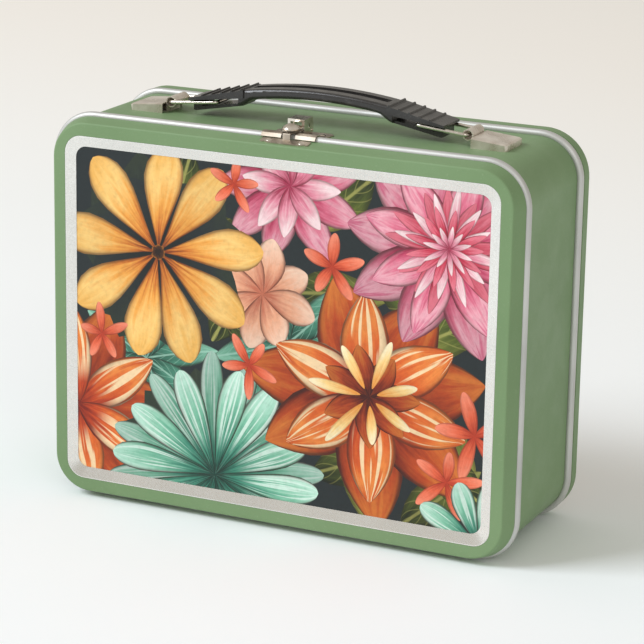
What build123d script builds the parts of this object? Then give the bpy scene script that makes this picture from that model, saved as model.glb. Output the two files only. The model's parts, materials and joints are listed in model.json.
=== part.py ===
from build123d import *
import math
import os

# Metal lunch box: a painted tinplate band with two rolled bare-metal rims, a lid hinged on the
# front rim's wire, a fixed rear pan, a sliding-loop carrying handle and a folded top latch.
# Frame: origin under the middle of the box, +X right, -Y front (the lid), +Z up, millimetres.

os.makedirs("parts", exist_ok=True)

# ---- driving dimensions: box ----
WIDTH = 221.4            # over the rolled rims
HEIGHT = 172.6           # over the rolled rims
DEPTH = 79.0             # lid face to rear face
CORNER = 20.2            # corner radius over the rolled rims
SHEET = 0.45             # tinplate
RIM_R = 1.8              # rolled rim, outside radius
RIM_WALL = 0.5
RIM_Y = 30.6             # rolled rims' centre lines lie at -RIM_Y and +RIM_Y
BAND_INSET = 2.4         # the band's outer face, measured in from the rims' outside
PAN_INSET = 0.2          # the rear pan is almost flush with the rims
REAR_EDGE = 2.0          # rounded outer edge of the rear pan
LID_OPEN = (109.1, 84.8)    # lid's half sizes at its open edge
LID_FACE = (106.3, 83.1)    # and at its face
LID_OPEN_R = 18.5        # corner radii, likewise
LID_FACE_R = 15.9
LID_CREASE = 1.0         # rounding of the crease between the lid's flank and its face
BAND_GAP = 1.8           # band edge to rim centre line
PAN_GAP = 1.95           # pan edge to rim centre line
FLANGE_T = 0.4           # flanges that join each rim to its neighbours
FLANGE_START = 0.9       # their reach, from the rim's centre line
FLANGE_END = 7.0
SEAT_END = 5.0           # the rear rim's flange inside the rear pan
SEAT_INSET = PAN_INSET + SHEET + 0.05
FLANGE_INSET = BAND_INSET + SHEET + 0.05
COLLAR_INSET = 3.9       # collar that the closed lid fits over
COLLAR_T = 0.4
COLLAR_FRONT = 4.0       # its reach to the front and rear of the rim's centre line
COLLAR_STEP = 3.2
COLLAR_REAR = 7.5

# ---- driving dimensions: framed picture in each pan ----
PICTURE_Z = 86.0         # height of the lid's and the pictures' middle
BEZEL_HALF = (100.8, 77.4)
BEZEL_R = 8.0
PICTURE_HALF = (96.1, 72.5)
PICTURE_R = 5.0
RECESS = 2.2             # depth of the pan's recess
BEZEL_SLOPE = 1.5        # how far the bezel's face falls back
BEZEL_FLAT = 0.5         # flat lip round its outer edge
PRINT_T = 0.35

# ---- driving dimensions: rim wire and lid hinge ----
WIRE_R = 0.9
KNUCKLE_IN = 0.97
KNUCKLE_OUT = 1.4
LEAF_W = 22.0
LEAF_X = 62.0
NOTCH_CLEAR = 0.6

# ---- driving dimensions: handle ----
MID_X = 2.6              # the handle and latch sit a little right of the box's centre
BAND_TOP = HEIGHT - BAND_INSET
LOOP_R = 0.8             # loop wire radius
LOOP_HALF = 7.3          # loop legs, half spacing
LOOP_OUT = (69.5, 174.95)   # loop's outer bar = knuckle axis, out from MID_X and up
LOOP_IN = (46.7, 177.2)     # loop's inner bar at rest
LOOP_BEND = 1.7
GRIP_HALF = 8.7          # half width of the grip
ARCH_HALF = 8.1          # half width of the arch between its end plates
ARCH_TOP = 186.6         # crown of the arch
ARCH_UNDER = 182.4       # underside of the arch at its crown
ARCH_FOOT = (28.5, 180.3)   # where the underside turns down towards the shoulder
SHOULDER = 35.0          # the arch's shoulders, out from the handle's middle
SHOULDER_END = 35.9
PLATE_END = 59.6
WALL_IN = 54.4           # closed end of each slot
WALL_OUT = 58.4
PLATE_TOP = (183.7, 178.1)      # plate's upper face at the shoulder and at its end
PLATE_UNDER = (180.25, 177.05)  # slot's upper face, likewise
LIP_TOP = (177.85, 173.75)      # slot's lower face at the shoulder and at the lip's end
LIP_UNDER = (176.7, 172.3)
RIBS = 5
RIB_PITCH = 4.65
RIB_W = 1.1
RIB_H = 0.65
GROOVE_HALF = 2.4
GROOVE_DEEP = 0.9
GROOVE_END = (31.5, 183.35)     # bottom of the groove at its ends
LIP_HALF = 5.9           # half width of the lower lips
TUBE_R = 2.4             # knuckle tube, outside radius
TUBE_HALF = 6.1
STRAP_T = 0.5
COVER_IN = 72.1          # bracket cover, inner and outer ends
COVER_OUT = 88.0
COVER_HALF = 9.4
COVER_HIGH = 4.4         # height above the band at the inner end
COVER_LOW = 2.9          # and at the outer end
COVER_EDGE = 0.9         # bevel round the top
COVER_T = 0.55

# ---- driving dimensions: latch, with depths measured from the front rim's centre line ----
LATCH_HALF = 13.0
LATCH_T = 0.5
BASE_Y0 = -RIM_Y + 2.7   # base plate, front and rear edges
BASE_Y1 = -RIM_Y + 16.5
SCALLOPS = 4
SCALLOP_PITCH = 3.2
SCALLOP_R = 1.7
EAR_HALF = 2.9
EAR_T = 0.6
RIM_TOP_CLEAR = 0.08
HASP_HALF = 3.85
HASP_FRONT = -RIM_Y + 5.1
HASP_REAR = -RIM_Y + 13.3
HASP_TOP = 178.0
HASP_LOW = 171.15
HASP_T = 0.45
PIN_Y = -RIM_Y + 12.8
PIN_Z = 172.4
PIN_R = 0.5
KNOB_Y = -RIM_Y + 0.3
KNOB_R = 3.8
TONGUE_HALF = 1.7
TONGUE_Z = 172.95
TONGUE_END = -RIM_Y + 6.5
CATCH_HALF = 11.2        # lid's catch plate, on the flank
CATCH_NEAR = 1.4         # its edges, down the flank from the lid's open edge
CATCH_FAR = 5.6
CATCH_LOBE = 1.0
WING_IN = 3.2            # latch base's wings over the rim, inner and outer ends
WING_OUT = 12.4
KNOB_BASE = 0.6
KNOB_DOME = 2.0
LIP_HALF_WIDTH = 2.2     # lip that carries the knob
LIP_RISE = 1.05          # its underside above the tongue's

MID_Z = HEIGHT / 2


def face_plane(y):
    """XZ plane at depth y: sketch x is X, sketch y is Z, and its normal is -Y."""
    return Plane.XZ.offset(-y)


def slab(inset, y0, y1, mode=Mode.ADD):
    """Rounded rectangle of the box's outline, moved in by inset, from depth y0 to y1."""
    with BuildSketch(face_plane(y0)) as outline:
        with Locations((0, MID_Z)):
            RectangleRounded(WIDTH - 2 * inset, HEIGHT - 2 * inset, CORNER - inset)
    extrude(outline.sketch, amount=-(y1 - y0), mode=mode)


def plate(half, radius, y0, y1, mode=Mode.ADD):
    """Rounded rectangle of stated half sizes about the picture's middle, from depth y0 to y1."""
    with BuildSketch(face_plane(y0)) as outline:
        with Locations((0, PICTURE_Z)):
            RectangleRounded(2 * half[0], 2 * half[1], radius)
    extrude(outline.sketch, amount=-(y1 - y0), mode=mode)


def block(x0, x1, y0, y1, z0, z1, mode=Mode.ADD):
    """Box between two corners."""
    with Locations(((x0 + x1) / 2, (y0 + y1) / 2, (z0 + z1) / 2)):
        Box(x1 - x0, y1 - y0, z1 - z0, mode=mode)


def rod(x, y, z0, z1, radius, mode=Mode.ADD):
    """Upright cylinder from z0 to z1."""
    with Locations((x, y, (z0 + z1) / 2)):
        Cylinder(radius, z1 - z0, mode=mode)


def cross_rod(radius, x0, x1, y, z, mode=Mode.ADD):
    """Cylinder along X."""
    with BuildSketch(Plane.YZ.offset(x0)) as section:
        with Locations((y, z)):
            Circle(radius)
    extrude(section.sketch, amount=x1 - x0, mode=mode)


def save(builder, name):
    """Label the finished piece and write it."""
    builder.part.label = name
    export_step(builder.part, f"parts/{name}.step")


def cap_arc(radius, base, height):
    """Arc of a spherical cap, from its rim at base up to the axis."""
    ball = (radius**2 + height**2) / (2 * height)
    half = math.asin(radius / ball) / 2
    middle = (ball * math.sin(half), base + height - ball * (1 - math.cos(half)))
    ThreePointArc((radius, base), middle, (0, base + height))


def shrink(half, by):
    """Half sizes reduced by a margin."""
    return (half[0] - by, half[1] - by)


# ---- fastener places ----
BRACKET_RIVETS = (76.5, 83.5)
BASE_RIVETS = ((-8.8, -RIM_Y + 12.6), (8.8, -RIM_Y + 12.6))
CATCH_RIVETS = ((-7.4, 3.4), (7.4, 3.4))     # across, and down the flank
RIVET_R = 0.9
RIVET_HOLE = 0.95

# ---- the lid's flank ----
LID_EDGE = -RIM_Y - PAN_GAP
FLANK_RUN = LID_EDGE + DEPTH / 2
FLANK_RISE = (LID_OPEN[1] - LID_FACE[1]) / FLANK_RUN
FLANK = math.atan(FLANK_RISE)
FLANK_SHEET = SHEET / math.cos(FLANK)


def flank_half(y):
    """Half height of the lid's outer surface at depth y."""
    return LID_OPEN[1] - (LID_EDGE - y) * FLANK_RISE


def flank_plane(down):
    """Plane on the top flank, a distance down from the lid's open edge, its normal outwards."""
    place_y = LID_EDGE - down * math.cos(FLANK)
    origin = (MID_X, place_y, PICTURE_Z + flank_half(place_y))
    return Plane(origin=origin, x_dir=(1, 0, 0), z_dir=(0, -math.sin(FLANK), math.cos(FLANK)))


# ---- centre band ----
with BuildPart() as centre_band:
    slab(BAND_INSET, -RIM_Y + BAND_GAP, RIM_Y - BAND_GAP)
    slab(BAND_INSET + SHEET, -RIM_Y + BAND_GAP, RIM_Y - BAND_GAP, mode=Mode.SUBTRACT)
    for side in (-1, 1):
        for out in BRACKET_RIVETS:
            rod(MID_X + side * out, 0, BAND_TOP - 2, BAND_TOP + 2, RIVET_HOLE, mode=Mode.SUBTRACT)
    for dx, y in BASE_RIVETS:
        rod(MID_X + dx, y, BAND_TOP - 2, BAND_TOP + 2, RIVET_HOLE, mode=Mode.SUBTRACT)
save(centre_band, "centre_band")


# ---- rolled rims, the front one notched for the hinge knuckles ----
def rim_roll(y):
    """Hollow roll of bare metal following the box's outline."""
    half_w = WIDTH / 2 - RIM_R
    low = RIM_R
    high = HEIGHT - RIM_R
    with BuildLine(face_plane(y)) as path:
        FilletPolyline((-half_w, low), (half_w, low), (half_w, high), (-half_w, high),
                       radius=CORNER - RIM_R, close=True)
    with BuildSketch(Plane(path.line @ 0, z_dir=path.line % 0)) as section:
        Circle(RIM_R)
        Circle(RIM_R - RIM_WALL, mode=Mode.SUBTRACT)
    sweep(section.sketch, path=path.line)


def rim_flange(inset, y0, y1):
    """Band of sheet that follows the box's outline."""
    slab(inset, y0, y1)
    slab(inset + FLANGE_T, y0, y1, mode=Mode.SUBTRACT)


with BuildPart() as front_rolled_rim:
    rim_flange(FLANGE_INSET, -RIM_Y + FLANGE_START, -RIM_Y + FLANGE_END)
    rim_roll(-RIM_Y)
    for side in (-1, 1):
        reach = LEAF_W / 2 + NOTCH_CLEAR
        block(side * LEAF_X - reach, side * LEAF_X + reach, -RIM_Y - RIM_R - 0.3,
              -RIM_Y + RIM_R + 0.3, -1, 2 * RIM_R + 0.2, mode=Mode.SUBTRACT)
save(front_rolled_rim, "front_rolled_rim")

with BuildPart() as rear_rolled_rim:
    rim_flange(FLANGE_INSET, RIM_Y - FLANGE_END, RIM_Y - FLANGE_START)
    rim_flange(SEAT_INSET, RIM_Y + FLANGE_START, RIM_Y + SEAT_END)
    rim_roll(RIM_Y)
save(rear_rolled_rim, "rear_rolled_rim")

with BuildPart() as front_rim_wire:
    with BuildLine(face_plane(-RIM_Y)) as wire_path:
        FilletPolyline((-WIDTH / 2 + RIM_R, RIM_R), (WIDTH / 2 - RIM_R, RIM_R),
                       (WIDTH / 2 - RIM_R, HEIGHT - RIM_R), (-WIDTH / 2 + RIM_R, HEIGHT - RIM_R),
                       radius=CORNER - RIM_R, close=True)
    with BuildSketch(Plane(wire_path.line @ 0, z_dir=wire_path.line % 0)):
        Circle(WIRE_R)
    sweep(path=wire_path.line)
save(front_rim_wire, "front_rim_wire")

# A collar inside the band's front edge that the closed lid fits over.
with BuildPart() as lid_register_collar:
    slab(FLANGE_INSET + FLANGE_T + 0.05, -RIM_Y + COLLAR_STEP, -RIM_Y + COLLAR_REAR)
    slab(COLLAR_INSET, -RIM_Y - COLLAR_FRONT, -RIM_Y + COLLAR_STEP)
    slab(COLLAR_INSET + COLLAR_T, -RIM_Y - COLLAR_FRONT, -RIM_Y + COLLAR_REAR, mode=Mode.SUBTRACT)
save(lid_register_collar, "lid_register_collar")


# ---- lid and rear pan ----
def picture_recess(facing):
    """Recess for the picture, pressed into a pan's face; facing is -1 or 1."""
    face = facing * DEPTH / 2
    inner = face - facing * SHEET
    floor = face - facing * (RECESS + SHEET)
    plate((BEZEL_HALF[0] + SHEET, BEZEL_HALF[1] + SHEET), BEZEL_R + SHEET,
          min(inner, floor), max(inner, floor))
    seat = face - facing * RECESS
    plate(BEZEL_HALF, BEZEL_R, min(face, seat), max(face, seat), mode=Mode.SUBTRACT)


def frustum(half0, radius0, y0, half1, radius1, y1, mode=Mode.ADD):
    """Straight-sided solid between two rounded rectangles about the picture's middle."""
    with BuildSketch(face_plane(y0)) as near:
        with Locations((0, PICTURE_Z)):
            RectangleRounded(2 * half0[0], 2 * half0[1], radius0)
    with BuildSketch(face_plane(y1)) as far:
        with Locations((0, PICTURE_Z)):
            RectangleRounded(2 * half1[0], 2 * half1[1], radius1)
    loft([near.sketch.face(), far.sketch.face()], ruled=True, mode=mode)


def bezel(facing):
    """Bare frame whose face falls back from the pan's rim to the picture."""
    face = facing * (DEPTH / 2 - 0.1)
    back = facing * (DEPTH / 2 - RECESS + PRINT_T + 0.1)
    plate(shrink(BEZEL_HALF, 0.1), BEZEL_R - 0.1, min(face, back), max(face, back))
    plate(PICTURE_HALF, PICTURE_R, min(face, back), max(face, back), mode=Mode.SUBTRACT)
    frustum(shrink(BEZEL_HALF, BEZEL_FLAT), BEZEL_R - BEZEL_FLAT, face,
            PICTURE_HALF, PICTURE_R, face - facing * BEZEL_SLOPE, mode=Mode.SUBTRACT)


def print_panel(facing):
    """Thin printed sheet held behind the bezel."""
    front = facing * (DEPTH / 2 - RECESS + PRINT_T + 0.05)
    back = facing * (DEPTH / 2 - RECESS + 0.05)
    plate(shrink(BEZEL_HALF, 0.6), BEZEL_R - 0.6, min(front, back), max(front, back))


with BuildPart() as front_lid:
    lid_face = -DEPTH / 2
    frustum(LID_OPEN, LID_OPEN_R, LID_EDGE, LID_FACE, LID_FACE_R, lid_face)
    fillet(faces().sort_by(Axis.Y)[0].outer_wire().edges(), LID_CREASE)
    frustum(shrink(LID_OPEN, FLANK_SHEET), LID_OPEN_R - FLANK_SHEET, LID_EDGE,
            shrink(LID_FACE, FLANK_SHEET - SHEET * FLANK_RISE), LID_FACE_R - FLANK_SHEET,
            lid_face + SHEET, mode=Mode.SUBTRACT)
    picture_recess(-1)
    for dx, down in CATCH_RIVETS:
        with Locations(flank_plane(down)):
            with Locations((dx, 0, 0)):
                Cylinder(RIVET_HOLE, 4, mode=Mode.SUBTRACT)
save(front_lid, "front_lid")

with BuildPart() as front_bezel:
    bezel(-1)
save(front_bezel, "front_bezel")

with BuildPart() as front_print_panel:
    print_panel(-1)
save(front_print_panel, "front_print_panel")

with BuildPart() as rear_pan:
    slab(PAN_INSET, RIM_Y + PAN_GAP, DEPTH / 2)
    fillet(faces().sort_by(Axis.Y)[-1].outer_wire().edges(), REAR_EDGE)
    offset(amount=-SHEET, openings=faces().sort_by(Axis.Y)[0])
    picture_recess(1)
save(rear_pan, "rear_pan")

with BuildPart() as rear_bezel:
    bezel(1)
save(rear_bezel, "rear_bezel")

with BuildPart() as rear_print_panel:
    print_panel(1)
save(rear_print_panel, "rear_print_panel")


# ---- lid hinge leaves: a strip inside the lid's lower flank, curled round the rim wire ----
def hinge_leaf(centre_x):
    """Strip that leaves the flank's inside and runs level to the top of a knuckle round the wire."""
    thick = KNUCKLE_OUT - KNUCKLE_IN
    top = RIM_R + KNUCKLE_OUT
    root = -RIM_Y - 8.2
    turn = -RIM_Y - 5.4
    root_z = PICTURE_Z - flank_half(root) + FLANK_SHEET + 0.02
    turn_z = PICTURE_Z - flank_half(turn) + FLANK_SHEET + 0.02
    with BuildSketch(Plane.YZ.offset(centre_x - LEAF_W / 2)) as section:
        with Locations((-RIM_Y, RIM_R)):
            Circle(KNUCKLE_OUT)
        with BuildLine():
            Polyline((root, root_z), (turn, turn_z), (-RIM_Y, top - thick),
                     (-RIM_Y, top), (turn, turn_z + thick), (root, root_z + thick), close=True)
        make_face()
        with Locations((-RIM_Y, RIM_R)):
            Circle(KNUCKLE_IN, mode=Mode.SUBTRACT)
        with Locations((-RIM_Y - KNUCKLE_OUT, RIM_R - 0.1)):
            Rectangle(1.2, 0.3, mode=Mode.SUBTRACT)
    extrude(section.sketch, amount=LEAF_W)


with BuildPart() as left_hinge_leaf:
    hinge_leaf(-LEAF_X)
save(left_hinge_leaf, "left_hinge_leaf")

with BuildPart() as right_hinge_leaf:
    hinge_leaf(LEAF_X)
save(right_hinge_leaf, "right_hinge_leaf")


# ---- handle grip: an arch with a slotted plate-and-lip at each end ----
def at(pair, x, x_end=PLATE_END):
    """Height on a straight line from the shoulder to an outer end."""
    share = (x - SHOULDER) / (x_end - SHOULDER)
    return pair[0] + (pair[1] - pair[0]) * share


def handle_sketch_plane(y):
    """XZ plane at depth y, with its origin on the handle's middle."""
    return Plane(origin=(MID_X, y, 0), x_dir=(1, 0, 0), z_dir=(0, -1, 0))


with BuildPart() as handle_grip:
    # arch
    foot_x, foot_z = ARCH_FOOT
    hip_z = LIP_UNDER[0] - 0.1
    with BuildSketch(handle_sketch_plane(ARCH_HALF)):
        with BuildLine():
            top = ThreePointArc((-SHOULDER, PLATE_TOP[0]), (0, ARCH_TOP), (SHOULDER, PLATE_TOP[0]))
            Line(top @ 1, (SHOULDER_END, PLATE_TOP[0] - 0.2))
            Line((SHOULDER_END, PLATE_TOP[0] - 0.2), (SHOULDER_END, hip_z))
            ThreePointArc((-foot_x, foot_z), (0, ARCH_UNDER), (foot_x, foot_z))
            Spline((SHOULDER_END, hip_z), (32.9, 178.0), (foot_x, foot_z),
                   tangents=((-1, 0.25), (-1, 0.16)))
            Spline((-foot_x, foot_z), (-32.9, 178.0), (-SHOULDER_END, hip_z),
                   tangents=((-1, -0.16), (-1, -0.25)))
            Line((-SHOULDER_END, hip_z), (-SHOULDER_END, PLATE_TOP[0] - 0.2))
            Line((-SHOULDER_END, PLATE_TOP[0] - 0.2), top @ 0)
        make_face()
    extrude(amount=2 * ARCH_HALF)
    long_edges = edges().filter_by(GeomType.CIRCLE).filter_by(lambda e: e.length > 40)
    fillet(long_edges, 1.5)
    # groove along the arch's top
    end_x, end_z = GROOVE_END
    with BuildSketch(handle_sketch_plane(GROOVE_HALF)):
        with BuildLine():
            low = ThreePointArc((-end_x, end_z), (0, ARCH_TOP - GROOVE_DEEP), (end_x, end_z))
            Line(low @ 1, (end_x, 190))
            Line((end_x, 190), (-end_x, 190))
            Line((-end_x, 190), low @ 0)
        make_face()
    extrude(amount=2 * GROOVE_HALF, mode=Mode.SUBTRACT)
    for side in (-1, 1):
        # upper plate, full width
        with BuildSketch(handle_sketch_plane(GRIP_HALF)):
            with BuildLine():
                Polyline((side * (SHOULDER - 1.6), at(PLATE_TOP, SHOULDER - 1.6) - 0.1),
                         (side * PLATE_END, PLATE_TOP[1]), (side * PLATE_END, PLATE_UNDER[1]),
                         (side * (SHOULDER - 0.4), PLATE_UNDER[0]),
                         (side * (SHOULDER - 1.6), PLATE_UNDER[0] + 0.2), close=True)
            make_face()
        extrude(amount=2 * GRIP_HALF)
        # lower lip and closed end wall, narrow enough to pass between the loop's legs
        with BuildSketch(handle_sketch_plane(LIP_HALF)):
            with BuildLine():
                Polyline((side * (SHOULDER - 0.4), LIP_TOP[0]), (side * WALL_IN, at(LIP_TOP, WALL_IN)),
                         (side * WALL_IN, at(PLATE_UNDER, WALL_IN) + 0.3),
                         (side * WALL_OUT, at(PLATE_UNDER, WALL_OUT) + 0.3),
                         (side * WALL_OUT, at(LIP_UNDER, WALL_OUT) + 0.2),
                         (side * (WALL_OUT - 0.8), at(LIP_UNDER, WALL_OUT) - 0.1),
                         (side * (SHOULDER - 0.4), LIP_UNDER[0]), close=True)
            make_face()
        extrude(amount=2 * LIP_HALF)
        # ribs across the plate
        for i in range(RIBS):
            x = SHOULDER - 0.4 + i * RIB_PITCH
            z = at(PLATE_TOP, x)
            with BuildSketch(handle_sketch_plane(GRIP_HALF)):
                with BuildLine():
                    Polyline((side * (x - RIB_W / 2), z - 0.3), (side * (x - RIB_W / 4), z + RIB_H),
                             (side * (x + RIB_W / 4), z + RIB_H - 0.1),
                             (side * (x + RIB_W / 2), z - 0.4), close=True)
                make_face()
            extrude(amount=2 * GRIP_HALF)
save(handle_grip, "handle_grip")


# ---- bail loops: closed wire rectangles from each knuckle to the grip's slot ----
def bail_loop(side):
    """Closed loop of wire lying in a plane tilted about Y."""
    x_out = MID_X + side * LOOP_OUT[0]
    x_in = MID_X + side * LOOP_IN[0]
    along = Vector(x_in - x_out, 0, LOOP_IN[1] - LOOP_OUT[1])
    loop_plane = Plane(origin=(x_out, 0, LOOP_OUT[1]), x_dir=along, z_dir=along.cross(Vector(0, 1, 0)))
    length = along.length
    with BuildLine(loop_plane) as path:
        FilletPolyline((0, -LOOP_HALF), (length, -LOOP_HALF), (length, LOOP_HALF), (0, LOOP_HALF),
                       radius=LOOP_BEND, close=True)
    with BuildSketch(Plane(path.line @ 0, z_dir=path.line % 0)) as section:
        Circle(LOOP_R)
    sweep(section.sketch, path=path.line)


with BuildPart() as left_bail_loop:
    bail_loop(-1)
save(left_bail_loop, "left_bail_loop")

with BuildPart() as right_bail_loop:
    bail_loop(1)
save(right_bail_loop, "right_bail_loop")


# ---- handle brackets: a rolled knuckle strap riveted to the band, under a wedge cover ----
def knuckle_strap(side):
    """Flat tongue on the band, turned up and rolled into the knuckle that holds the loop."""
    out, up = LOOP_OUT
    wall = out + TUBE_R
    with BuildSketch(handle_sketch_plane(TUBE_HALF)) as section:
        with Locations((side * out, up)):
            Circle(TUBE_R)
        with Locations((side * (wall - STRAP_T / 2), (up + BAND_TOP) / 2)):
            Rectangle(STRAP_T, up - BAND_TOP)
        with Locations((side * (wall - STRAP_T + 7.5), BAND_TOP + STRAP_T / 2)):
            Rectangle(15.0, STRAP_T)
        with Locations((side * out, up)):
            Circle(TUBE_R - STRAP_T, mode=Mode.SUBTRACT)
    extrude(section.sketch, amount=2 * TUBE_HALF)
    for place in BRACKET_RIVETS:
        rod(MID_X + side * place, 0, BAND_TOP - 1, BAND_TOP + 2, RIVET_HOLE, mode=Mode.SUBTRACT)


def bracket_cover(side):
    """Wedge folded from sheet: sloping top, front, rear and outer flanges, open inner end."""
    with BuildSketch(handle_sketch_plane(COVER_HALF)) as wedge:
        with BuildLine():
            Polyline((side * COVER_IN, BAND_TOP), (side * COVER_IN, BAND_TOP + COVER_HIGH),
                     (side * COVER_OUT, BAND_TOP + COVER_LOW), (side * COVER_OUT, BAND_TOP), close=True)
        make_face()
    extrude(wedge.sketch, amount=2 * COVER_HALF)
    upright = edges().filter_by(Axis.Z).sort_by(Axis.X)
    fillet(upright[-2:] if side > 0 else upright[:2], 1.6)
    top = faces().sort_by(Axis.Z)[-1]
    bevelled = top.edges().filter_by(lambda e: abs(e.center().X - MID_X) > COVER_IN + 0.5)
    chamfer(bevelled, COVER_EDGE / 2, COVER_EDGE)
    with BuildSketch(handle_sketch_plane(COVER_HALF - COVER_T)) as inside:
        with BuildLine():
            Polyline((side * (COVER_IN - 1), BAND_TOP - 1),
                     (side * (COVER_IN - 1), BAND_TOP + COVER_HIGH - COVER_T + 0.15),
                     (side * (COVER_OUT - COVER_T), BAND_TOP + COVER_LOW - COVER_T),
                     (side * (COVER_OUT - COVER_T), BAND_TOP - 1), close=True)
        make_face()
    extrude(inside.sketch, amount=2 * (COVER_HALF - COVER_T), mode=Mode.SUBTRACT)


def rivet(seat, head_r, head_h, grip):
    """Rivet with a low domed head on the seat plane and a flat upset head beyond its grip."""
    side_dir = seat.x_dir.cross(seat.z_dir)
    with BuildSketch(Plane(origin=seat.origin, x_dir=seat.x_dir, z_dir=side_dir)) as section:
        with BuildLine():
            Line((0, -grip - 0.5), (RIVET_R + 0.6, -grip - 0.5))
            Line((RIVET_R + 0.6, -grip - 0.5), (RIVET_R + 0.6, -grip))
            Line((RIVET_R + 0.6, -grip), (RIVET_R, -grip))
            Line((RIVET_R, -grip), (RIVET_R, 0))
            Line((RIVET_R, 0), (head_r, 0))
            cap_arc(head_r, 0, head_h)
            Line((0, head_h), (0, -grip - 0.5))
        make_face()
    revolve(section.sketch, axis=Axis(seat.origin, seat.z_dir))


def level_seat(x, y, z):
    """Horizontal seat plane for a rivet."""
    return Plane(origin=(x, y, z), x_dir=(1, 0, 0), z_dir=(0, 0, 1))


with BuildPart() as left_knuckle_strap:
    knuckle_strap(-1)
save(left_knuckle_strap, "left_knuckle_strap")

with BuildPart() as right_knuckle_strap:
    knuckle_strap(1)
save(right_knuckle_strap, "right_knuckle_strap")

with BuildPart() as left_bracket_cover:
    bracket_cover(-1)
save(left_bracket_cover, "left_bracket_cover")

with BuildPart() as right_bracket_cover:
    bracket_cover(1)
save(right_bracket_cover, "right_bracket_cover")

with BuildPart() as left_bracket_rivets:
    for place in BRACKET_RIVETS:
        rivet(level_seat(MID_X - place, 0, BAND_TOP + STRAP_T), 1.8, 0.7, STRAP_T + SHEET)
save(left_bracket_rivets, "left_bracket_rivets")

with BuildPart() as right_bracket_rivets:
    for place in BRACKET_RIVETS:
        rivet(level_seat(MID_X + place, 0, BAND_TOP + STRAP_T), 1.8, 0.7, STRAP_T + SHEET)
save(right_bracket_rivets, "right_bracket_rivets")


# ---- latch: scalloped base plate with two ears on the band, astride the front rim ----
with BuildPart() as latch_base_plate:
    with BuildSketch(Plane.XY.offset(BAND_TOP)):
        with Locations((MID_X, (BASE_Y0 + BASE_Y1) / 2)):
            Rectangle(2 * LATCH_HALF - 3.0, BASE_Y1 - BASE_Y0)
        for side in (-1, 1):
            for i in range(SCALLOPS):
                with Locations((MID_X + side * (LATCH_HALF - SCALLOP_R),
                                BASE_Y0 + SCALLOP_R + 0.2 + i * SCALLOP_PITCH)):
                    Circle(SCALLOP_R)
    extrude(amount=LATCH_T)
    # side wings that drape over the rolled rim, left open between them for the lid's tongue
    crown = HEIGHT + RIM_TOP_CLEAR
    roll_z = HEIGHT - RIM_R
    for side in (-1, 1):
        x0 = MID_X + (WING_IN if side > 0 else -WING_OUT)
        with BuildSketch(Plane.YZ.offset(x0)):
            with BuildLine():
                Polyline((BASE_Y0 + 0.3, BAND_TOP + LATCH_T), (BASE_Y0 - 0.9, crown + LATCH_T - 0.2),
                         (-RIM_Y + 0.8, crown + LATCH_T), (-RIM_Y - 0.9, crown + LATCH_T),
                         (-RIM_Y - 2.0, crown + 0.05), (-RIM_Y - 2.9, roll_z + 0.45),
                         (-RIM_Y - 2.65, roll_z + 0.18), (-RIM_Y - 1.85, roll_z + 1.15),
                         (-RIM_Y - 0.9, crown), (-RIM_Y + 0.7, crown), (BASE_Y0 - 1.1, crown - 0.5),
                         (BASE_Y0 - 0.3, BAND_TOP), (BASE_Y0 + 0.4, BAND_TOP), close=True)
            make_face()
        extrude(amount=WING_OUT - WING_IN)
    for side in (-1, 1):
        ear = side * EAR_HALF
        with BuildSketch(Plane.YZ.offset(MID_X + ear - EAR_T / 2)):
            with BuildLine():
                Polyline((PIN_Y - 1.3, BAND_TOP + 0.1), (PIN_Y - 1.3, PIN_Z + 0.4),
                         (PIN_Y - 0.6, PIN_Z + 1.2), (PIN_Y + 0.6, PIN_Z + 1.2),
                         (PIN_Y + 1.3, PIN_Z + 0.4), (PIN_Y + 1.3, BAND_TOP + 0.1), close=True)
            make_face()
        extrude(amount=EAR_T)
    cross_rod(PIN_R + 0.02, MID_X - 4, MID_X + 4, PIN_Y, PIN_Z, mode=Mode.SUBTRACT)
    for dx, y in BASE_RIVETS:
        rod(MID_X + dx, y, BAND_TOP - 1, BAND_TOP + 2, RIVET_HOLE, mode=Mode.SUBTRACT)
save(latch_base_plate, "latch_base_plate")

with BuildPart() as latch_base_rivets:
    for dx, y in BASE_RIVETS:
        rivet(level_seat(MID_X + dx, y, BAND_TOP + LATCH_T), 1.7, 0.6, LATCH_T + SHEET)
save(latch_base_rivets, "latch_base_rivets")

with BuildPart() as latch_hinge_pin:
    cross_rod(PIN_R, MID_X - HASP_HALF - 0.35, MID_X + HASP_HALF + 0.35, PIN_Y, PIN_Z)
    fillet(edges().filter_by(GeomType.CIRCLE), 0.15)
save(latch_hinge_pin, "latch_hinge_pin")

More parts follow.
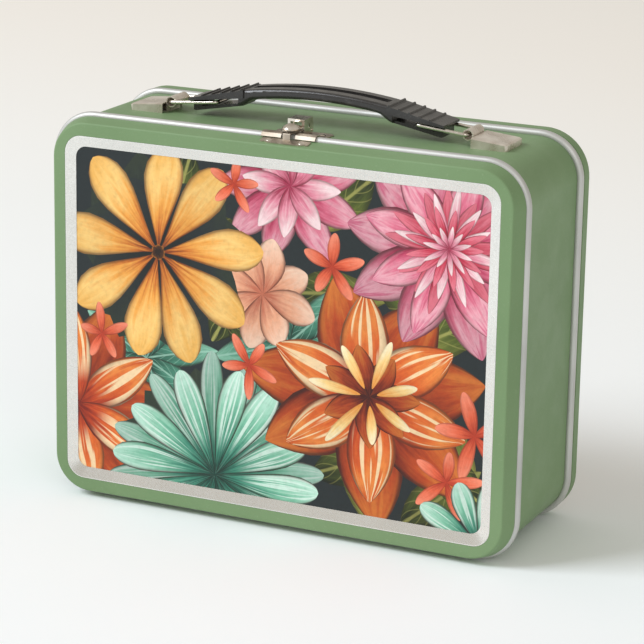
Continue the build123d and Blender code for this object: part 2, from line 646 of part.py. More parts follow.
# ---- latch hasp: a folded box hinged at its rear, with a window, side cut-outs and a bar ----
with BuildPart() as latch_hasp:
    for side in (-1, 1):
        x0 = MID_X + (HASP_HALF - HASP_T if side > 0 else -HASP_HALF)
        with BuildSketch(Plane.YZ.offset(x0)):
            with BuildLine():
                Polyline((HASP_FRONT, HASP_LOW), (HASP_FRONT, HASP_TOP), (HASP_REAR, HASP_TOP),
                         (PIN_Y + 1.3, PIN_Z + 1.5), (PIN_Y + 1.3, PIN_Z), (PIN_Y, HASP_LOW), close=True)
            make_face()
            with Locations((PIN_Y, PIN_Z)):
                Circle(1.3)
                Circle(PIN_R + 0.06, mode=Mode.SUBTRACT)
            with BuildLine():
                Polyline((HASP_FRONT + 3.4, HASP_TOP - 3.9), (HASP_FRONT + 5.9, HASP_TOP - 3.9),
                         (HASP_FRONT + 4.65, HASP_TOP - 1.9), close=True)
            make_face(mode=Mode.SUBTRACT)
        extrude(amount=HASP_T)
    block(MID_X - HASP_HALF, MID_X + HASP_HALF, HASP_FRONT, HASP_REAR, HASP_TOP - HASP_T, HASP_TOP)
    block(MID_X - HASP_HALF, MID_X + HASP_HALF, HASP_FRONT, HASP_FRONT + HASP_T, HASP_LOW, HASP_TOP)
    block(MID_X - HASP_HALF + 1.2, MID_X + HASP_HALF - 1.2, HASP_FRONT - 1, HASP_FRONT + 1,
          TONGUE_Z + 2.5, HASP_TOP - 1.1, mode=Mode.SUBTRACT)
    block(MID_X - TONGUE_HALF - 0.5, MID_X + TONGUE_HALF + 0.5, HASP_FRONT - 1, HASP_FRONT + 1,
          HASP_LOW - 1, TONGUE_Z + 1.0, mode=Mode.SUBTRACT)
    # lip that carries the thumb knob
    block(MID_X - LIP_HALF_WIDTH, MID_X + LIP_HALF_WIDTH, KNOB_Y, HASP_FRONT + 0.1,
          TONGUE_Z + LIP_RISE, TONGUE_Z + LIP_RISE + HASP_T)
save(latch_hasp, "latch_hasp")

with BuildPart() as latch_thumb_knob:
    knob_seat = TONGUE_Z + LIP_RISE + HASP_T
    with BuildSketch(Plane(origin=(MID_X, KNOB_Y, knob_seat), x_dir=(1, 0, 0), z_dir=(0, -1, 0))):
        with BuildLine():
            Line((0, 0), (KNOB_R - 0.2, 0))
            Line((KNOB_R - 0.2, 0), (KNOB_R, KNOB_BASE))
            cap_arc(KNOB_R, KNOB_BASE, KNOB_DOME)
            Line((0, KNOB_BASE + KNOB_DOME), (0, 0))
        make_face()
    revolve(axis=Axis((MID_X, KNOB_Y, 0), (0, 0, 1)))
save(latch_thumb_knob, "latch_thumb_knob")

# ---- latch catch on the lid: scalloped plate on the flank with a tongue reaching over the rim ----
def flank_z(y, above):
    """Height at depth y of a surface parallel to the top flank, a distance above it."""
    return PICTURE_Z + flank_half(y) + above / math.cos(FLANK)


with BuildPart() as lid_catch_plate:
    lobe_x = CATCH_HALF - CATCH_LOBE
    with BuildSketch(flank_plane(0)):
        with BuildLine():
            Polyline((-lobe_x, -CATCH_NEAR), (-lobe_x, -CATCH_FAR + 1.4), (-lobe_x + 3.0, -CATCH_FAR),
                     (lobe_x - 3.0, -CATCH_FAR), (lobe_x, -CATCH_FAR + 1.4), (lobe_x, -CATCH_NEAR),
                     close=True)
        make_face()
        for side in (-1, 1):
            for down in (CATCH_NEAR + CATCH_LOBE, CATCH_NEAR + 2.7):
                with Locations((side * lobe_x, -down)):
                    Circle(CATCH_LOBE)
    extrude(amount=LATCH_T)
    # tongue: rises from the plate just ahead of the wings and reaches back over the rim
    riser = -RIM_Y - 4.2
    with BuildSketch(Plane.YZ.offset(MID_X - TONGUE_HALF)):
        with BuildLine():
            Polyline((riser, flank_z(riser, 0.1)), (riser, TONGUE_Z + 0.2),
                     (riser + 0.3, TONGUE_Z + LATCH_T), (TONGUE_END, TONGUE_Z + LATCH_T),
                     (TONGUE_END, TONGUE_Z), (riser + LATCH_T, TONGUE_Z),
                     (riser + LATCH_T, flank_z(riser + LATCH_T, 0.1)), close=True)
        make_face()
    extrude(amount=2 * TONGUE_HALF)
    for dx, down in CATCH_RIVETS:
        with Locations(flank_plane(down)):
            with Locations((dx, 0, 0)):
                Cylinder(RIVET_HOLE, 4, mode=Mode.SUBTRACT)
save(lid_catch_plate, "lid_catch_plate")

with BuildPart() as lid_catch_rivets:
    for dx, down in CATCH_RIVETS:
        seat = flank_plane(down)
        place = seat.origin + seat.x_dir * dx + seat.z_dir * LATCH_T
        rivet(Plane(origin=place, x_dir=seat.x_dir, z_dir=seat.z_dir), 1.4, 0.5, LATCH_T + SHEET)
save(lid_catch_rivets, "lid_catch_rivets")
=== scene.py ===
"""Looks of a printed metal lunch box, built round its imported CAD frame."""

import json
import math
import random

import bpy
from mathutils import Matrix, Vector
from mathutils.geometry import delaunay_2d_cdt


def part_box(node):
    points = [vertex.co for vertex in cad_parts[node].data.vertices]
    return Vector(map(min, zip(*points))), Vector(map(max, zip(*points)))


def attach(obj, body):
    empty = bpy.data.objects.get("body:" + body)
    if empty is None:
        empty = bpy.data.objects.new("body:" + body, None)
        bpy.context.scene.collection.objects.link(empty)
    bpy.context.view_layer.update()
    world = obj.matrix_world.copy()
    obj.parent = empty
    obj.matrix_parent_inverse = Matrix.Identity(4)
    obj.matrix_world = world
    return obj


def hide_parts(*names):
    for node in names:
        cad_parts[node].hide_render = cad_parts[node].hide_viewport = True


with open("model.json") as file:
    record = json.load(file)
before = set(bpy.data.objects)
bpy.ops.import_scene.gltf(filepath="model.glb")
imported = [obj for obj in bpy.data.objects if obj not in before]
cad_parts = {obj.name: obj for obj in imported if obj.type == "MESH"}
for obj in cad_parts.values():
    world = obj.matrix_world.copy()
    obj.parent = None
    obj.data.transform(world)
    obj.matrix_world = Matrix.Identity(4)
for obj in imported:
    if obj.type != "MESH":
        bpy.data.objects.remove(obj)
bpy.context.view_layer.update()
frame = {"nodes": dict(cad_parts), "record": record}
NODES = frame["nodes"]

# ---------------------------------------------------------------- camera

LENS = 153.27
SENSOR = 36
AZIMUTH = math.radians(24.85)
ELEVATION = math.radians(15.92)
ROLL = math.radians(1.02)
EYE = Vector((0.4857, -1.0394, 0.4105))


def make_camera():
    """The camera stands to the right of the front, a little above the box."""
    back = Vector((
        math.sin(AZIMUTH) * math.cos(ELEVATION),
        -math.cos(AZIMUTH) * math.cos(ELEVATION),
        math.sin(ELEVATION),
    ))
    level = Vector((math.cos(AZIMUTH), math.sin(AZIMUTH), 0))
    upright = back.cross(level)
    right = math.cos(ROLL) * level + math.sin(ROLL) * upright
    up = -math.sin(ROLL) * level + math.cos(ROLL) * upright
    data = bpy.data.cameras.new("camera")
    data.lens = LENS
    data.sensor_width = SENSOR
    data.clip_start = 0.05
    data.clip_end = 30
    camera = bpy.data.objects.new("camera", data)
    bpy.context.scene.collection.objects.link(camera)
    turn = Matrix((right, up, back)).transposed()
    camera.matrix_world = Matrix.Translation(EYE) @ turn.to_4x4()
    bpy.context.scene.camera = camera


# ---------------------------------------------------------------- node helpers

# Sockets of the Mix node that carry colours.
MIX_FIRST = 6
MIX_SECOND = 7
MIX_RESULT = 2


def colour(text):
    """Linear RGBA of a colour written as six hexadecimal digits of sRGB."""
    shares = [int(text[i:i + 2], 16) / 255 for i in (0, 2, 4)]
    linear = [s / 12.92 if s <= 0.04045 else ((s + 0.055) / 1.055) ** 2.4 for s in shares]
    return (*linear, 1)


class Graph:
    """Builds the node tree of one material."""

    def __init__(self, name):
        self.material = bpy.data.materials.new(name)
        self.material.use_nodes = True
        self.tree = self.material.node_tree
        self.shader = self.tree.nodes["Principled BSDF"]

    def node(self, kind, **settings):
        made = self.tree.nodes.new(kind)
        for key, value in settings.items():
            setattr(made, key, value)
        return made

    def put(self, socket, value):
        """Links the socket to another node's output, or sets its value."""
        if isinstance(value, bpy.types.NodeSocket):
            self.tree.links.new(value, socket)
        else:
            socket.default_value = value

    def math(self, operation, *values):
        made = self.node("ShaderNodeMath", operation=operation)
        for socket, value in zip(made.inputs, values):
            self.put(socket, value)
        return made.outputs[0]

    def remap(self, value, low, high, to_low=0.0, to_high=1.0):
        """The value's smooth step from low to high; low above high gives a falling step."""
        made = self.node("ShaderNodeMapRange", interpolation_type="SMOOTHSTEP")
        for index, item in enumerate((value, low, high, to_low, to_high)):
            self.put(made.inputs[index], item)
        return made.outputs[0]

    def mix(self, share, first, second, blend="MIX"):
        made = self.node("ShaderNodeMix", data_type="RGBA", blend_type=blend)
        self.put(made.inputs["Factor"], share)
        self.put(made.inputs[MIX_FIRST], first)
        self.put(made.inputs[MIX_SECOND], second)
        return made.outputs[MIX_RESULT]

    def ramp(self, value, stops):
        made = self.node("ShaderNodeValToRGB")
        elements = made.color_ramp.elements
        while len(elements) < len(stops):
            elements.new(0.5)
        for element, (place, paint) in zip(elements, stops):
            element.position = place
            element.color = colour(paint)
        self.put(made.inputs[0], value)
        return made.outputs[0]

    def noise(self, where, scale, detail=2.0, rough=0.5, distortion=0.0):
        made = self.node("ShaderNodeTexNoise")
        self.put(made.inputs["Vector"], where)
        made.inputs["Scale"].default_value = scale
        made.inputs["Detail"].default_value = detail
        made.inputs["Roughness"].default_value = rough
        made.inputs["Distortion"].default_value = distortion
        return made.outputs["Fac"]

    def split(self, vector):
        made = self.node("ShaderNodeSeparateXYZ")
        self.put(made.inputs[0], vector)
        return tuple(made.outputs)

    def join(self, *values):
        made = self.node("ShaderNodeCombineXYZ")
        for socket, value in zip(made.inputs, values):
            self.put(socket, value)
        return made.outputs[0]

    def varnished(self, paint):
        """Litho ink under a thin varnish: mottled, a little grainy, softly glossy."""
        here = self.place()
        mottle = self.ramp(self.noise(here, 420, 4, 0.65),
                           [(0.25, "e2e2e2"), (0.5, "f6f6f6"), (0.75, "ffffff")])
        paint = self.mix(0.8, paint, mottle, "MULTIPLY")
        rough = self.remap(self.noise(here, 45, 3), 0.3, 0.7, 0.3, 0.4)
        peel = self.bump(self.noise(here, 500, 2), 0.00002, 0.4)
        self.set(Base_Color=paint, Roughness=rough, Normal=peel)
        self.shader.inputs["Specular IOR Level"].default_value = 0.4
        return self.material

    def place(self, stretch=None):
        """Object coordinates in metres, stretched by a factor on each axis if asked."""
        here = self.node("ShaderNodeTexCoord").outputs["Object"]
        if stretch is None:
            return here
        made = self.node("ShaderNodeVectorMath", operation="MULTIPLY")
        self.put(made.inputs[0], here)
        self.put(made.inputs[1], stretch)
        return made.outputs[0]

    def bump(self, height, distance, strength):
        made = self.node("ShaderNodeBump")
        made.inputs["Strength"].default_value = strength
        made.inputs["Distance"].default_value = distance
        self.put(made.inputs["Height"], height)
        return made.outputs[0]

    def set(self, **values):
        """Feeds the shader's inputs, named with _ for a space."""
        for key, value in values.items():
            self.put(self.shader.inputs[key.replace("_", " ")], value)


# ---------------------------------------------------------------- metals, paint and plastic


def enamel():
    """Satin sage-green enamel with faint clouding, dust specks and orange peel."""
    g = Graph("sage_enamel")
    here = g.place()
    clouds = g.noise(here, 14, 3)
    paint = g.ramp(clouds, [(0.3, "718c63"), (0.7, "7a956c")])
    specks = g.remap(g.noise(here, 1500, 1), 0.66, 0.74)
    paint = g.mix(g.math("MULTIPLY", specks, 0.16), paint, colour("a9bb9c"))
    rough = g.remap(g.noise(here, 60, 4, 0.6), 0.3, 0.7, 0.42, 0.54)
    peel = g.noise(here, 650, 2)
    g.set(Base_Color=paint, Roughness=rough, Normal=g.bump(peel, 0.00003, 0.5))
    g.shader.inputs["Specular IOR Level"].default_value = 0.3
    return g.material


def tinplate():
    """Bright bare tinplate of the rolled rims, lightly tarnished."""
    g = Graph("bare_tinplate")
    here = g.place()
    tarnish = g.noise(here, 30, 3, 0.5)
    metal = g.ramp(tarnish, [(0.3, "b9b9b6"), (0.7, "cfcfcc")])
    rough = g.remap(g.noise(here, 90, 2), 0.3, 0.7, 0.46, 0.54)
    g.set(Base_Color=metal, Roughness=rough)
    g.shader.inputs["Metallic"].default_value = 0.6
    return g.material


def bezel_metal():
    """Satin silver-white frame round the picture, with a fine frosted grain."""
    g = Graph("satin_bezel")
    here = g.place()
    grain = g.noise(here, 1300, 3, 0.7)
    metal = g.ramp(g.noise(here, 30, 3), [(0.3, "e6e4df"), (0.7, "f1efea")])
    metal = g.mix(g.remap(grain, 0.35, 0.65, 0, 0.3), metal, colour("c4c4c2"))
    rough = g.remap(grain, 0.3, 0.7, 0.22, 0.32)
    g.set(Base_Color=metal, Roughness=rough, Normal=g.bump(grain, 0.00002, 0.5))
    g.shader.inputs["Metallic"].default_value = 0.93
    return g.material


def plated(name, low, high, rough_low, rough_high, metallic=1.0):
    """Nickel-plated steel with soft smears of wear."""
    g = Graph(name)
    here = g.place()
    smear = g.noise(here, 110, 3, 0.5, 0.3)
    metal = g.ramp(smear, [(0.3, low), (0.65, high)])
    rough = g.remap(smear, 0.3, 0.7, rough_low, rough_high)
    g.set(Base_Color=metal, Roughness=rough)
    g.shader.inputs["Metallic"].default_value = metallic
    return g.material


def plastic():
    """Semi-gloss black moulded plastic with a faint grain and greyed scuffs."""
    g = Graph("moulded_plastic")
    here = g.place()
    scuffs = g.remap(g.noise(g.place((0.35, 1, 1)), 520, 4, 0.7), 0.56, 0.72)
    paint = g.mix(g.math("MULTIPLY", scuffs, 0.5), colour("2a2827"), colour("53504d"))
    rough = g.remap(g.noise(here, 130, 3), 0.3, 0.7, 0.24, 0.34)
    grain = g.noise(here, 1400, 2)
    g.set(Base_Color=paint, Roughness=rough, Normal=g.bump(grain, 0.00003, 0.5))
    g.shader.inputs["Specular IOR Level"].default_value = 0.6
    return g.material


# ---------------------------------------------------------------- the printed flowers

MM = 1000
PANEL_CORNER = 7.4
CORNER_STEPS = 6
OUTLINE_STEPS = 11
INSIDE_ONLY = 1
CUT_TOLERANCE = 1e-5
PLAIN_PETAL = (0.5, 0, 0)
PLAIN_TUNE = (0, 1, 0)


def printed(name, stops, shape, streak=0.35, side=0.12, line=0.55, gap=0.0, rib=None, flash=None):
    """Ink of one kind of petal or leaf: stops colour it from root to tip, shape is its outline's
    two powers, streak its brush strokes, line its darker edge, gap the dark rim round it, rib the
    colour of its midrib and flash the colour of its bold highlights."""
    g = Graph(name)
    petal = g.node("ShaderNodeAttribute", attribute_name="petal").outputs["Vector"]
    tune = g.node("ShaderNodeAttribute", attribute_name="tune").outputs["Vector"]
    along, across, seed = g.split(petal)
    bend, shade, _ = g.split(tune)
    across = g.math("SUBTRACT", across, g.math("MULTIPLY", bend, g.math("MULTIPLY", along, along)))
    half = g.math("SINE", g.math("MULTIPLY", g.math("POWER", along, shape[0]), math.pi))
    half = g.math("POWER", g.math("MAXIMUM", half, 0.001), shape[1])
    off = g.math("DIVIDE", g.math("ABSOLUTE", across), g.math("MAXIMUM", half, 0.05))
    fan = g.math("DIVIDE", across, g.math("MAXIMUM", half, 0.25))
    brush = g.join(g.math("MULTIPLY", along, 2.2), g.math("MULTIPLY", fan, 3.4),
                   g.math("MULTIPLY", seed, 40))
    strokes = g.math("SUBTRACT", g.noise(brush, 1.0, 4, 0.6), 0.5)
    tone = g.math("MULTIPLY_ADD", across, side, along)
    tone = g.math("MULTIPLY_ADD", strokes, streak * 2, tone)
    paint = g.ramp(tone, stops)
    lights = g.remap(g.noise(brush, 2.1, 3, 0.5), 0.56, 0.7, 0, 0.35)
    paint = g.mix(lights, paint, g.mix(1.0, paint, stops_light(stops), "SCREEN"))
    if rib:
        middle = g.remap(g.math("ABSOLUTE", across), 0.1, 0.03, 0, 0.75)
        paint = g.mix(middle, paint, colour(rib))
        run = g.math("MULTIPLY_ADD", off, 0.28, along)
        veins = g.math("PINGPONG", g.math("MULTIPLY", run, 7), 0.5)
        paint = g.mix(g.remap(veins, 0.1, 0.02, 0, 0.4), paint, colour(rib))
    if flash:
        bold = g.join(g.math("MULTIPLY", along, 1.1), g.math("MULTIPLY", fan, 4.6),
                      g.math("MULTIPLY", seed, 23))
        bold = g.remap(g.noise(bold, 1.0, 2, 0.4), 0.53, 0.6, 0, 0.85)
        bold = g.math("MULTIPLY", bold, g.remap(along, 0.2, 0.5))
        paint = g.mix(bold, paint, colour(flash))
    edge = g.math("MULTIPLY", g.remap(off, 0.62, 1.0), line)
    paint = g.mix(edge, paint, g.mix(1.0, paint, colour("7d5a50"), "MULTIPLY"))
    if gap:
        rim = g.math("MULTIPLY", g.remap(off, 0.82, 0.95), gap)
        paint = g.mix(rim, paint, colour("2a1712"))
    grey = g.join(shade, shade, shade)
    paint = g.mix(1.0, paint, grey, "MULTIPLY")
    return g.varnished(paint)


def stops_light(stops):
    """The lightest of a ramp's colours, dimmed for use as a highlight."""
    lightest = max((colour(paint) for _, paint in stops), key=lambda c: sum(c[:3]))
    return tuple(0.45 * part for part in lightest[:3]) + (1,)


# The ramp of each ink from root to tip, the two powers of its outline, and its other settings.
SPECIES = {
    "ground": ([(0.1, "141a19"), (0.5, "20282a"), (0.9, "2b3528")], (1, 1), {"line": 0}),
    "rust": ([(0.05, "4a120a"), (0.3, "8a2b0e"), (0.6, "bf4a1a"), (0.95, "d9772f")], (0.95, 0.8),
             {"streak": 0.55, "gap": 0.7}),
    "orange": ([(0.03, "7c1d0d"), (0.25, "bb4018"), (0.5, "dd6626"), (0.75, "ec8a3f"),
                (0.97, "cf5a20")], (1.0, 0.75), {"streak": 0.45, "gap": 0.6, "flash": "fbe3b4"}),
    "stamen": ([(0.1, "e9973e"), (0.6, "fbd58a"), (0.95, "fdeec5")], (1.3, 0.5), {"line": 0.4}),
    "rose": ([(0.05, "7a0f22"), (0.4, "c8354f"), (0.8, "e8788a")], (1.1, 0.7),
             {"streak": 0.5, "gap": 0.4}),
    "gold": ([(0.06, "7d3412"), (0.22, "cf7427"), (0.42, "efa548"), (0.7, "f9cc7a"),
              (0.95, "efb65c")], (2.1, 0.6), {"streak": 0.4, "gap": 0.5}),
    "pink": ([(0.05, "7d1030"), (0.3, "c33f63"), (0.55, "e0758f"), (0.8, "efaebb"),
              (0.98, "d8708d")], (1.1, 0.75), {"streak": 0.5, "gap": 0.55}),
    "blush": ([(0.05, "a62a4c"), (0.4, "e68aa0"), (0.85, "fbdfe1")], (0.95, 0.7),
              {"streak": 0.45, "gap": 0.3}),
    "teal": ([(0.05, "123c33"), (0.3, "3b8770"), (0.6, "7bbfa1"), (0.95, "b9e4d0")], (2.1, 0.5),
             {"streak": 0.4, "gap": 0.8, "flash": "d6efe2"}),
    "coral": ([(0.1, "b8391f"), (0.4, "e2623f"), (0.9, "f58b6c")], (1.2, 0.5), {}),
    "peach": ([(0.1, "c26d52"), (0.5, "edab88"), (0.95, "f8d2b8")], (1.4, 0.6), {"gap": 0.5}),
    "olive": ([(0.05, "263212"), (0.45, "66742a"), (0.95, "a2a64b")], (0.85, 0.9),
              {"streak": 0.4, "rib": "c2c06a"}),
    "sage": ([(0.05, "1f5142"), (0.5, "4f967c"), (0.95, "8ccaae")], (1.0, 0.8),
             {"streak": 0.4, "gap": 0.5, "rib": "a9dcc6"}),
    "eye": ([(0.2, "24160f"), (0.7, "4b2a14"), (0.95, "a5631f")], (1, 0.5), {"line": 0.2}),
}


class Bouquet:
    """Strokes of a flower print, from the back to the front, in millimetres from its middle."""

    def __init__(self, seed):
        self.strokes = []
        self.chance = random.Random(seed)

    def stroke(self, kind, root, turn, length, width, bend=0.0, shade=1.0):
        self.strokes.append({
            "kind": kind, "root": root, "turn": math.radians(turn), "length": length,
            "half": width / 2, "bend": bend, "shade": shade, "seed": self.chance.random(),
        })

    def bloom(self, kind, centre, size, turn, petals, width, shade=1.0, uneven=0.12, start=0.0,
              tilt=1.0, lean=0.0):
        """A ring of petals. tilt below 1 foreshortens it along the direction lean."""
        for index in range(petals):
            angle = turn + 360 * index / petals + self.chance.uniform(-4, 4)
            swing = math.radians(angle - lean)
            reach = math.hypot(math.cos(swing), math.sin(swing) * tilt)
            length = size * reach * (1 - uneven * self.chance.random())
            seen = lean + math.degrees(math.atan2(math.sin(swing) * tilt, math.cos(swing)))
            spot = math.radians(seen)
            root = (centre[0] + start * size * math.cos(spot) * reach,
                    centre[1] + start * size * math.sin(spot) * reach)
            self.stroke(kind, root, seen, length * (1 - start), width * size,
                        bend=self.chance.uniform(-0.5, 0.5),
                        shade=shade * self.chance.uniform(0.9, 1.05))

    def points(self, stroke):
        """The stroke's closed outline, anticlockwise."""
        first, second = SPECIES[stroke["kind"]][1]
        sides = ([], [])
        for step in range(OUTLINE_STEPS + 1):
            u = (1 - math.cos(math.pi * step / OUTLINE_STEPS)) / 2
            half = max(math.sin(math.pi * u ** first), 0) ** second
            for side, points in zip((-1, 1), sides):
                if 0 < step < OUTLINE_STEPS or side < 0:
                    v = side * half + stroke["bend"] * u * u
                    points.append(self.to_sheet(stroke, u, v))
        return sides[0] + sides[1][::-1]

    @staticmethod
    def to_sheet(stroke, u, v):
        x, y = u * stroke["length"], v * stroke["half"]
        c, s = math.cos(stroke["turn"]), math.sin(stroke["turn"])
        return (stroke["root"][0] + c * x - s * y, stroke["root"][1] + s * x + c * y)

    @staticmethod
    def to_petal(stroke, x, y):
        x, y = x - stroke["root"][0], y - stroke["root"][1]
        c, s = math.cos(stroke["turn"]), math.sin(stroke["turn"])
        return ((c * x + s * y) / stroke["length"], (c * y - s * x) / stroke["half"])


def compose():
    """A generic bouquet: open blooms, small star flowers and fans of leaves on near-black."""
    b = Bouquet(4)
    for x, y, size, turn in (
        (-70, 4, 52, 30), (-84, 66, 44, -70), (-30, -6, 48, 60), (-22, 10, 46, -50),
        (6, 20, 46, 10), (44, 34, 48, -30), (60, 2, 46, 60), (70, -20, 44, -60),
        (18, -58, 46, 20), (-14, -72, 40, 70), (60, -74, 46, 40), (-96, -40, 40, 60),
        (96, 20, 44, 200), (-40, 76, 40, -110), (44, 74, 40, -140), (-44, -72, 40, 30),
        (98, -60, 40, 150), (-10, 40, 40, 180), (76, 44, 40, 20), (36, -36, 44, -70),
    ):
        b.stroke("olive", (x, y), turn, size, 20, bend=b.chance.uniform(-0.8, 0.8),
                 shade=b.chance.uniform(0.5, 0.9))
    b.bloom("sage", (6, -2), 40, 200, 7, 0.34, shade=0.75)
    b.bloom("sage", (-62, -18), 36, 20, 8, 0.34, shade=0.8)
    b.bloom("rust", (-96, -44), 56, 10, 7, 0.5, shade=0.85)
    b.bloom("orange", (-96, -44), 46, 36, 6, 0.42)
    b.bloom("pink", (6, 66), 38, 20, 9, 0.4, shade=0.9)
    b.bloom("blush", (6, 66), 24, 0, 8, 0.4)
    b.bloom("ground", (-28, -66), 48, 0, 11, 0.7, uneven=0)
    b.bloom("teal", (-28, -66), 58, 8, 12, 0.2, shade=0.72)
    b.bloom("teal", (-28, -66), 54, -8, 12, 0.25)
    b.bloom("peach", (-6, 18), 26, 30, 8, 0.55, shade=0.95)
    b.bloom("rust", (44, -20), 60, 12, 7, 0.52, shade=0.9)
    b.bloom("orange", (44, -20), 50, 38, 6, 0.46)
    b.bloom("rust", (44, -20), 24, 5, 7, 0.5, shade=0.8)
    b.bloom("stamen", (44, -20), 32, 20, 7, 0.15, uneven=0.4, start=0.12)
    b.bloom("ground", (-56, 30), 44, 12, 9, 0.8, uneven=0)
    b.bloom("gold", (-56, 30), 51, 12, 9, 0.37, uneven=0.08)
    b.bloom("eye", (-56, 30), 3.6, 0, 9, 0.8)
    b.bloom("pink", (78, 48), 50, 8, 9, 0.44, shade=0.82)
    b.bloom("pink", (78, 48), 41, 28, 8, 0.38)
    b.bloom("rose", (78, 48), 31, 10, 13, 0.2, shade=0.9, uneven=0.3)
    b.bloom("blush", (78, 48), 28, 22, 12, 0.17, uneven=0.3)
    b.bloom("rose", (78, 48), 20, 0, 13, 0.2, uneven=0.25)
    b.bloom("blush", (78, 48), 13, 14, 11, 0.2, uneven=0.3)
    for x, y, size, turn in ((26, 34, 19, 15), (-12, -14, 16, 50), (92, -30, 22, 30),
                             (80, -52, 18, 5), (-84, -10, 15, 20), (-20, 64, 15, 10)):
        b.bloom("coral", (x, y), size, turn, 5, 0.3, uneven=0.3)
    b.bloom("teal", (96, -78), 32, 20, 11, 0.34)
    return b


def rounded_outline(half_x, half_z, corner):
    """A rectangle with rounded corners round the origin, anticlockwise."""
    points = []
    for quarter, (sign_x, sign_z) in enumerate(((1, 1), (-1, 1), (-1, -1), (1, -1))):
        for step in range(CORNER_STEPS + 1):
            angle = math.pi / 2 * (quarter + step / CORNER_STEPS)
            points.append((sign_x * (half_x - corner) + corner * math.cos(angle),
                           sign_z * (half_z - corner) + corner * math.sin(angle)))
    return points


def cut_sheet(bouquet, outline):
    """Cuts the sheet inside the outline along every stroke. Returns its points, its faces, and
    the topmost stroke on each face, counted from 1, with 0 for bare ground."""
    spots = [Vector(point) for point in outline]
    faces = [list(range(len(spots)))]
    for stroke in bouquet.strokes:
        ring = bouquet.points(stroke)
        faces.append(list(range(len(spots), len(spots) + len(ring))))
        spots += [Vector(point) for point in ring]
    cut = delaunay_2d_cdt(spots, [], faces, INSIDE_ONLY, CUT_TOLERANCE, True)
    points, _, tiles, _, _, owners = cut
    inside = [(tile, max(owner)) for tile, owner in zip(tiles, owners) if 0 in owner]
    used = sorted({index for tile, _ in inside for index in tile})
    place = {index: count for count, index in enumerate(used)}
    tiles = [[place[index] for index in tile] for tile, _ in inside]
    return [points[index] for index in used], tiles, [top for _, top in inside]


def border_loop(tiles):
    """The points round the edge of a sheet of anticlockwise faces, in order."""
    edges = dict.fromkeys(pair for tile in tiles for pair in zip(tile, tile[1:] + tile[:1]))
    following = {a: b for a, b in edges if (b, a) not in edges}
    loop = [next(iter(following))]
    while following[loop[-1]] != loop[0]:
        loop.append(following[loop[-1]])
    return loop


def plate_mesh(name, low, high, facing, points, tiles):
    """A thin plate that fills the box from low to high, with the cut sheet as its outer face."""
    middle = (low + high) / 2
    outer, inner = (low.y, high.y) if facing < 0 else (high.y, low.y)
    verts = [(middle.x - facing * p.x / MM, outer, middle.z + p.y / MM) for p in points]
    loop = border_loop(tiles)
    back = {index: len(points) + order for order, index in enumerate(loop)}
    verts += [(verts[index][0], inner, verts[index][2]) for index in loop]
    walls = [[a, back[a], back[b], b] for a, b in zip(loop, loop[1:] + loop[:1])]
    faces = tiles + walls + [[back[index] for index in reversed(loop)]]
    mesh = bpy.data.meshes.new(name)
    mesh.from_pydata(verts, [], [face[::-1] if facing > 0 else face for face in faces])
    return mesh


def ink_faces(mesh, bouquet, points, tops):
    """Gives each face the ink of its topmost stroke, and each corner its place on that petal."""
    order = list(SPECIES)
    for kind in order:
        mesh.materials.append(INKS[kind])
    petals, tunes, inks = [], [], []
    for face in mesh.polygons:
        top = tops[face.index] if face.index < len(tops) else 0
        if top == 0:
            inks.append(order.index("ground"))
            tunes += PLAIN_TUNE
            petals += PLAIN_PETAL * face.loop_total
            continue
        stroke = bouquet.strokes[top - 1]
        inks.append(order.index(stroke["kind"]))
        tunes += (stroke["bend"], stroke["shade"], 0)
        for corner in face.loop_indices:
            spot = points[mesh.loops[corner].vertex_index]
            u, v = bouquet.to_petal(stroke, spot.x, spot.y)
            petals += (max(u, 0), v, stroke["seed"])
    mesh.polygons.foreach_set("material_index", inks)
    mesh.attributes.new("petal", "FLOAT_VECTOR", "CORNER").data.foreach_set("vector", petals)
    mesh.attributes.new("tune", "FLOAT_VECTOR", "FACE").data.foreach_set("vector", tunes)


def print_plate(name, node, body, facing):
    """A printed tin plate in place of a CAD panel. facing is the sign of y that it faces."""
    low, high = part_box(node)
    bouquet = compose()
    outline = rounded_outline((high.x - low.x) * MM / 2, (high.z - low.z) * MM / 2, PANEL_CORNER)
    points, tiles, tops = cut_sheet(bouquet, outline)
    mesh = plate_mesh(name, low, high, facing, points, tiles)
    ink_faces(mesh, bouquet, points, tops)
    piece = bpy.data.objects.new(name, mesh)
    bpy.context.scene.collection.objects.link(piece)
    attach(piece, body)
    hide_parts(node)


FINISHES = {
    "green_enamel": enamel(),
    "bare_tinplate": tinplate(),
    "satin_bezel": bezel_metal(),
    "black_plastic": plastic(),
    "loop_wire": plated("loop_wire", "cdc4b8", "f2ece2", 0.14, 0.22),
    "latch_nickel": plated("latch_nickel", "c0b5a6", "efe8de", 0.15, 0.27),
    "bracket_nickel": plated("bracket_nickel", "c2b6a7", "ebe3d8", 0.24, 0.36, 0.75),
}
INKS = {kind: printed("ink_" + kind, stops, shape, **more)
        for kind, (stops, shape, more) in SPECIES.items()}
FINISHES["floral_print"] = INKS["ground"]
# A darker, rougher copy of the nickel: painted shade and dark reflection for the plates under the
# latch's dome.
SHADED_NICKEL = plated("shaded_nickel", "877a6b", "d3c8b9", 0.42, 0.56)
DOME_SHADED_NODES = ("latch_base_plate", "lid_catch_plate")


def dress_nodes():
    """Each CAD node keeps its mesh and takes the finish of its slot; the plates under the latch's
    dome take a darker nickel that paints their shade.
    """
    for part in frame["record"]["subparts"]:
        name = part["node"]
        # Plates under the latch's dome get the darker nickel, which paints their shade.
        dome_shaded = name in DOME_SHADED_NODES
        materials = NODES[name].data.materials
        materials.clear()
        materials.append(SHADED_NICKEL if dome_shaded else FINISHES[part["material_slot"]])


# ---------------------------------------------------------------- studio

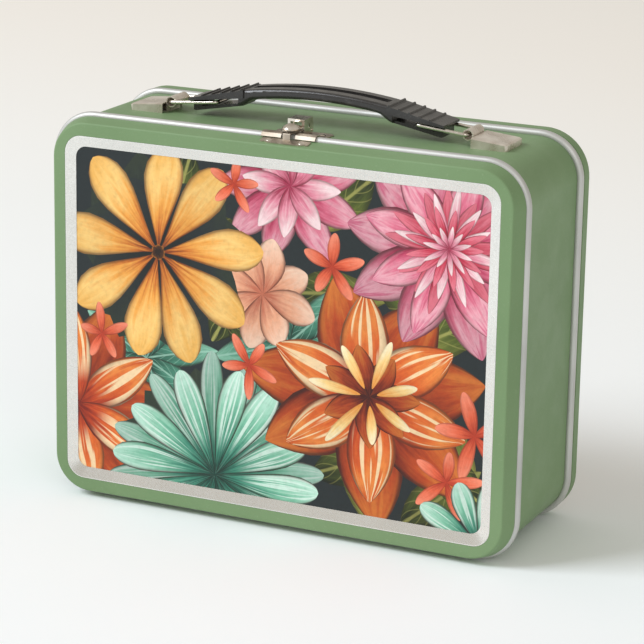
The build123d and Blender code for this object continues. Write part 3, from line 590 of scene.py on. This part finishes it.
FLOOR_HALF = 6
AIM = Vector((0, 0, 0.08))
KEY_PLACE, KEY_SIZE, KEY_POWER, KEY_TINT = (-3.0, -2.2, 3.1), 2.2, 157, (0.96, 1.01, 1.08)
FILL_PLACE, FILL_SIZE, FILL_POWER, FILL_TINT = (2.6, -3.4, 2.2), 2.4, 34, (1, 1, 1)
SKY_TINT = (1, 0.945, 0.855, 1)
SKY_STRENGTH = 0.54


def area_light(name, place, size, power, tint):
    """A square soft light that points at the middle of the box."""
    data = bpy.data.lights.new(name, "AREA")
    data.shape = "RECTANGLE"
    data.size = size
    data.size_y = size
    data.energy = power
    data.color = tint
    light = bpy.data.objects.new(name, data)
    light.location = place
    light.rotation_mode = "QUATERNION"
    light.rotation_quaternion = (AIM - Vector(place)).to_track_quat("-Z", "Y")
    bpy.context.scene.collection.objects.link(light)


def paper():
    """Pale matt paper; its warmer tint towards the back is painted light, standing in for the
    warmer light far from the key.
    """
    g = Graph("paper_floor")
    here = g.place()
    tint = g.ramp(g.noise(here, 3, 3), [(0.3, "f4f9fb"), (0.7, "f8fcfe")])
    # Painted light: the tint warms towards the back, as the light falling there does.
    far_warm_light = g.remap(g.split(here)[1], -0.1, 1.2)
    g.set(Base_Color=g.mix(far_warm_light, tint, colour("f8f4ee")))
    g.shader.inputs["Roughness"].default_value = 0.8
    g.shader.inputs["Specular IOR Level"].default_value = 0.2
    return g.material


def make_studio():
    """A paper floor under a large soft light from the left, with weaker fill around."""
    corners = [(x * FLOOR_HALF, y * FLOOR_HALF, 0) for x, y in ((-1, -1), (1, -1), (1, 1), (-1, 1))]
    mesh = bpy.data.meshes.new("studio_floor")
    mesh.from_pydata(corners, [], [(0, 1, 2, 3)])
    mesh.materials.append(paper())
    floor = bpy.data.objects.new("studio_floor", mesh)
    bpy.context.scene.collection.objects.link(floor)

    area_light("key", KEY_PLACE, KEY_SIZE, KEY_POWER, KEY_TINT)
    area_light("fill", FILL_PLACE, FILL_SIZE, FILL_POWER, FILL_TINT)
    world = bpy.data.worlds.new("studio_world")
    world.use_nodes = True
    backdrop = world.node_tree.nodes["Background"]
    backdrop.inputs["Color"].default_value = SKY_TINT
    backdrop.inputs["Strength"].default_value = SKY_STRENGTH
    bpy.context.scene.world = world
    bpy.context.scene.view_settings.view_transform = "Standard"


make_camera()
dress_nodes()
print_plate("front_floral_print", "front_print_panel", "lid", -1)
print_plate("rear_floral_print", "rear_print_panel", "box", 1)
make_studio()
